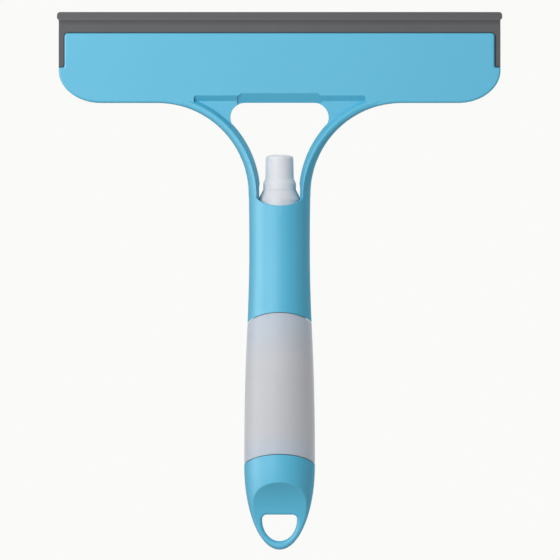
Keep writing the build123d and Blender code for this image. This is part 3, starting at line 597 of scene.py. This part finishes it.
# %% White surroundings with a dim fill
PAPER_WHITE = (0.957, 0.957, 0.94, 1)
DIM_GREY = (0.41, 0.415, 0.425, 1)
NEARLY_BLACK = (0.08, 0.08, 0.082, 1)
EDGE_OF_PAPER, FULL_PAPER = 0.75, 0.97
world = bpy.data.worlds.new("paper_room")
bpy.context.scene.world = world
world.use_nodes = True
tree = world.node_tree
ray = tree.nodes.new("ShaderNodeLightPath")
looked_at = Wire(tree, ray.outputs["Is Camera Ray"])
mirrored = Wire(tree, ray.outputs["Is Glossy Ray"])
direction = looked_at.node("ShaderNodeTexCoord", {}, {}, out="Object")
behind = fade(along(direction, 1), EDGE_OF_PAPER, FULL_PAPER)
looked_at = looked_at.math("MAXIMUM", looked_at, mirrored * behind)
looked_at = looked_at.math("MAXIMUM", looked_at, Wire(tree, ray.outputs["Is Transmission Ray"]))
room = blend(mirrored, DIM_GREY, NEARLY_BLACK)
paper = blend(looked_at, room, PAPER_WHITE)
tree.links.new(paper.socket, tree.nodes["Background"].inputs["Color"])
print("world:", len(tree.nodes), "nodes")

# %% [markdown]
# The floor lies 12 cm under the hanging tool and catches a soft shadow. The camera sees it paler than the
# dim room would make it: six tenths of what a camera ray finds there is plain paper white, the rest is
# lit paint with the shadow on it. The rim fades into the white room, so no edge shows from any side. That
# fading is a Mix Shader between the floor and a Transparent shader, by the distance from the middle.

# %% Paper floor
FLOOR_LEVEL, FLOOR_REACH = cad_box[0][2] - 120 * MM, 3.0
RIM_START, RIM_END, PAPER_SHARE = 0.4, 0.95, 0.62
FLOOR_PAINT = (0.6, 0.6, 0.59, 1)
span = FLOOR_REACH * np.array([[-1, -1], [1, -1], [1, 1], [-1, 1]])
mesh = bpy.data.meshes.new("paper_floor")
mesh.from_pydata(np.c_[span, np.full(4, FLOOR_LEVEL)].tolist(), [], [(0, 1, 2, 3)])
floor = bpy.data.objects.new("paper_floor", mesh)
bpy.context.scene.collection.objects.link(floor)
paint = bpy.data.materials.new("paper")
paint.use_nodes = True
tree = paint.node_tree
place = Wire(tree, None).node("ShaderNodeTexCoord", {}, {}, out="Object")
middle = place.node("ShaderNodeVectorMath", {"operation": "LENGTH"}, {0: place}, out="Value")
rim = fade(middle, RIM_START, RIM_END)
shader = tree.nodes["Principled BSDF"]
shader.inputs["Base Color"].default_value = FLOOR_PAINT
shader.inputs["Roughness"].default_value = 0.9
shader.inputs["Specular IOR Level"].default_value = 0.1
paler = PAPER_SHARE * rim.node("ShaderNodeLightPath", {}, {}, out="Is Camera Ray")
white = rim.node("ShaderNodeEmission", {}, {"Color": PAPER_WHITE, "Strength": 1.0})
pale = rim.node("ShaderNodeMixShader", {}, {0: paler, 1: Wire(tree, shader.outputs[0]), 2: white})
clear = rim.node("ShaderNodeBsdfTransparent", {}, {})
faded = rim.node("ShaderNodeMixShader", {}, {0: rim, 1: pale, 2: clear})
tree.links.new(faded.socket, tree.nodes["Material Output"].inputs["Surface"])
floor.data.materials.append(paint)
print("floor at", round(FLOOR_LEVEL / MM), "mm")

# %% [markdown]
# The lamp is a large square, so its shadows and highlights have soft edges. It stands in front, 29
# degrees to the left and 21 degrees up. The board stands beside the handle. It is there for its
# reflection, a pale sheen that the satin plastic shows down the left side, so it lights nothing else. A
# third lamp, behind the tool to the right, keeps the back from sinking into grey. Shiny faces don't
# mirror that one, because the inner sides of the fork would show it as a white streak. Ray visibility on
# the lamp objects makes these two differences. None of the lamps is seen by the camera itself. The
# radiance of an even panel is its power divided by pi and by its area. The printed figure is a guide to
# how bright a lamp looks in a reflection.

# %% Lamps
def aim(thing, target):
    """Turn an object so that its -Z axis points at the target and its +Y axis is up."""
    thing.rotation_euler = (Vector(target) - thing.location).to_track_quat("-Z", "Y").to_euler()


def soft_lamp(name, place, width, height, watts, lights=True, shines=True):
    """Rectangular lamp turned to the handle, that lights faces, is mirrored by them, or both."""
    lamp = bpy.data.lights.new(name, "AREA")
    lamp.shape = "RECTANGLE"
    lamp.size, lamp.size_y = width, height
    lamp.energy = watts
    stand = bpy.data.objects.new(name, lamp)
    stand.location = place
    stand.visible_camera = False
    stand.visible_diffuse = lights
    stand.visible_glossy = shines
    aim(stand, (0.0, 0.0, 0.0))
    bpy.context.scene.collection.objects.link(stand)
    print(name, "radiance", round(watts / (np.pi * width * height), 2))


soft_lamp("window_light", (-0.62, -1.12, 0.48), width=0.75, height=0.75, watts=16.3)
soft_lamp("white_board", (-0.85, -0.1, 0.05), width=0.15, height=0.9, watts=7.0, lights=False)
soft_lamp("back_light", (0.75, 0.85, 0.4), width=0.8, height=0.8, watts=8.0, shines=False)

# %% [markdown]
# The camera looks straight along +Y, level with the middle of the tool, from 3 m away through a very long
# lens. From so far away, near and far surfaces of the tool appear at nearly the same scale, as in a
# measured drawing. The Standard view shows a colour as it is written, without a film look.

# %% Camera
ASIDE, DISTANCE, MIDDLE = 0.2 * MM, 3.0, -9.1 * MM
lens = bpy.data.cameras.new("front_view")
lens.sensor_width = 36.0
lens.lens = 403.4
camera = bpy.data.objects.new("front_view", lens)
camera.location = (ASIDE, -DISTANCE, MIDDLE)
aim(camera, (ASIDE, 0.0, MIDDLE))
bpy.context.scene.collection.objects.link(camera)
bpy.context.scene.camera = camera
bpy.context.scene.view_settings.view_transform = "Standard"
print("lens", lens.lens, "mm")
